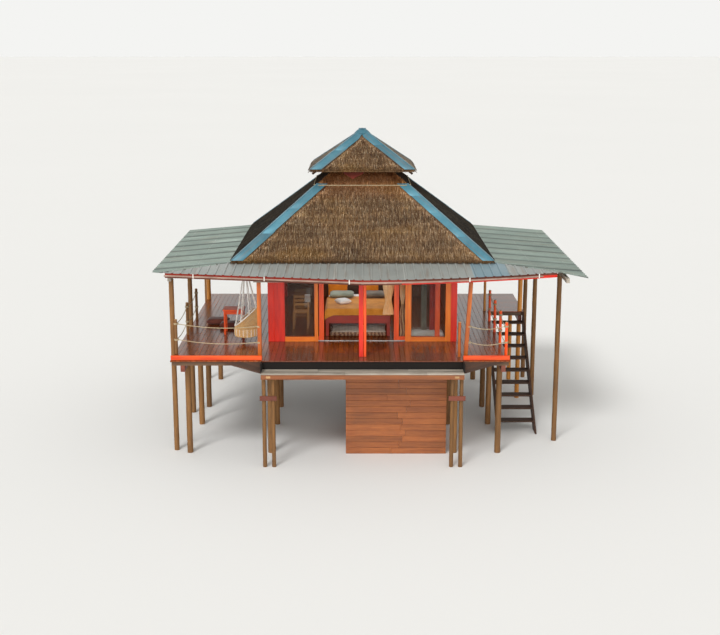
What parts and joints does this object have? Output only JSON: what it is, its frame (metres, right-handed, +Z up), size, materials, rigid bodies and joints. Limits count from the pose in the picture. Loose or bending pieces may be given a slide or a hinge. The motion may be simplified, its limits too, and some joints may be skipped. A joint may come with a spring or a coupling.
{
  "type": "stilt house",
  "caption": "Timber house on stilts with a raised veranda, thatched pyramid roof with a cap, metal side roofs, sliding glass doors and a side stair.",
  "frame": {"origin": "foot of the stilt that stands under the middle of the thatched roof, on the ground", "axes": "+X to the right seen from the front, +Y to the back, +Z up"},
  "size_m": [10.165, 8, 7.4986],
  "materials": {
    "stilts": "weathered",
    "stilt_ties": "weathered",
    "bearers": "weathered",
    "joists": "weathered",
    "deck_floor": "glossy varnish",
    "landing_floor": "glossy varnish",
    "kerb_boards": "painted orange",
    "ledge_plank": "weathered grey",
    "ledge_frame": "varnished",
    "skirts": "weathered",
    "lower_front_wall": "varnished",
    "lower_side_walls": "varnished",
    "lower_back_wall": "varnished",
    "front_posts": "painted orange",
    "side_poles": "weathered pole",
    "veranda_posts": "varnished",
    "corner_posts": "painted red",
    "front_header": "painted orange",
    "front_windows": "painted orange",
    "window_glass": "clear",
    "door_tracks": "satin",
    "left_door_frame": "painted orange",
    "left_door_glass": "clear",
    "right_door_frame": "painted orange",
    "right_door_glass": "clear",
    "left_wall": "varnished",
    "right_wall": "varnished",
    "back_wall": "varnished",
    "ring_beams": "varnished",
    "eave_beams": "painted",
    "thatch_poles": "bamboo",
    "neck_frame": "timber",
    "cap_poles": "bamboo",
    "metal_roof_poles": "bamboo",
    "front_fascia": "painted red",
    "front_metal_roof": "satin",
    "left_metal_roof": "satin",
    "right_metal_roof": "satin",
    "thatch_front": "dry thatch",
    "thatch_back": "dry thatch",
    "thatch_left": "dry thatch",
    "thatch_right": "dry thatch",
    "cap_thatch": "dry thatch",
    "hip_flashings": "satin blue",
    "gutter": "matte",
    "railing_posts": "varnished",
    "railing_ropes": "twisted rope",
    "stair_sides": "varnished",
    "stair_treads": "varnished",
    "bed_frame": "varnished",
    "bedding": "cotton",
    "inner_chair": "varnished",
    "curtains": "cotton",
    "veranda_table": "varnished",
    "floor_cushion": "cotton",
    "hanging_chair": "woven cord",
    "chair_ropes": "rope",
    "chair_hook": "galvanised",
    "under_bed_mat": "woven mat",
    "window_bolster": "cotton"
  },
  "bodies": {
    "house": {"stilts": "stilts", "stilt_ties": "stilt_ties", "bearers": "bearers", "joists": "joists", "deck_floor": "deck_floor", "landing_floor": "landing_floor", "kerb_boards": "kerb_boards", "ledge_plank": "ledge_plank", "ledge_frame": "ledge_frame", "skirts": "skirts", "lower_front_wall": "lower_front_wall", "lower_side_walls": "lower_side_walls", "lower_back_wall": "lower_back_wall", "front_posts": "front_posts", "side_poles": "side_poles", "veranda_posts": "veranda_posts", "corner_posts": "corner_posts", "front_header": "front_header", "front_windows": "front_windows", "window_glass": "window_glass", "door_tracks": "door_tracks", "left_wall": "left_wall", "right_wall": "right_wall", "back_wall": "back_wall", "ring_beams": "ring_beams", "eave_beams": "eave_beams", "thatch_poles": "thatch_poles", "neck_frame": "neck_frame", "cap_poles": "cap_poles", "metal_roof_poles": "metal_roof_poles", "front_fascia": "front_fascia", "front_metal_roof": "front_metal_roof", "left_metal_roof": "left_metal_roof", "right_metal_roof": "right_metal_roof", "thatch_front": "thatch_front", "thatch_back": "thatch_back", "thatch_left": "thatch_left", "thatch_right": "thatch_right", "cap_thatch": "cap_thatch", "hip_flashings": "hip_flashings", "gutter": "gutter", "railing_posts": "railing_posts", "railing_ropes": "railing_ropes", "stair_sides": "stair_sides", "stair_treads": "stair_treads", "bed_frame": "bed_frame", "bedding": "bedding", "inner_chair": "inner_chair", "curtains": "curtains", "veranda_table": "veranda_table", "floor_cushion": "floor_cushion", "chair_hook": "chair_hook", "under_bed_mat": "under_bed_mat", "window_bolster": "window_bolster"},
    "left_leaf": {"left_door_frame": "left_door_frame", "left_door_glass": "left_door_glass"},
    "right_leaf": {"right_door_frame": "right_door_frame", "right_door_glass": "right_door_glass"},
    "swinging_chair": {"hanging_chair": "hanging_chair", "chair_ropes": "chair_ropes"}
  },
  "joints": [
    {"name": "left_leaf_slide", "type": "slide", "parent": "house", "child": "left_leaf", "axis": [1, 0, 0], "range_m": [0, 0.915]},
    {"name": "right_leaf_slide", "type": "slide", "parent": "house", "child": "right_leaf", "axis": [-1, 0, 0], "range_m": [-0.25, 0.785]},
    {"name": "chair_swing", "type": "hinge", "parent": "house", "child": "swinging_chair", "pos_m": [-2.84, -2.66, 4.44122], "axis": [1, 0, 0], "range_deg": [-10, 10]}
  ]
}
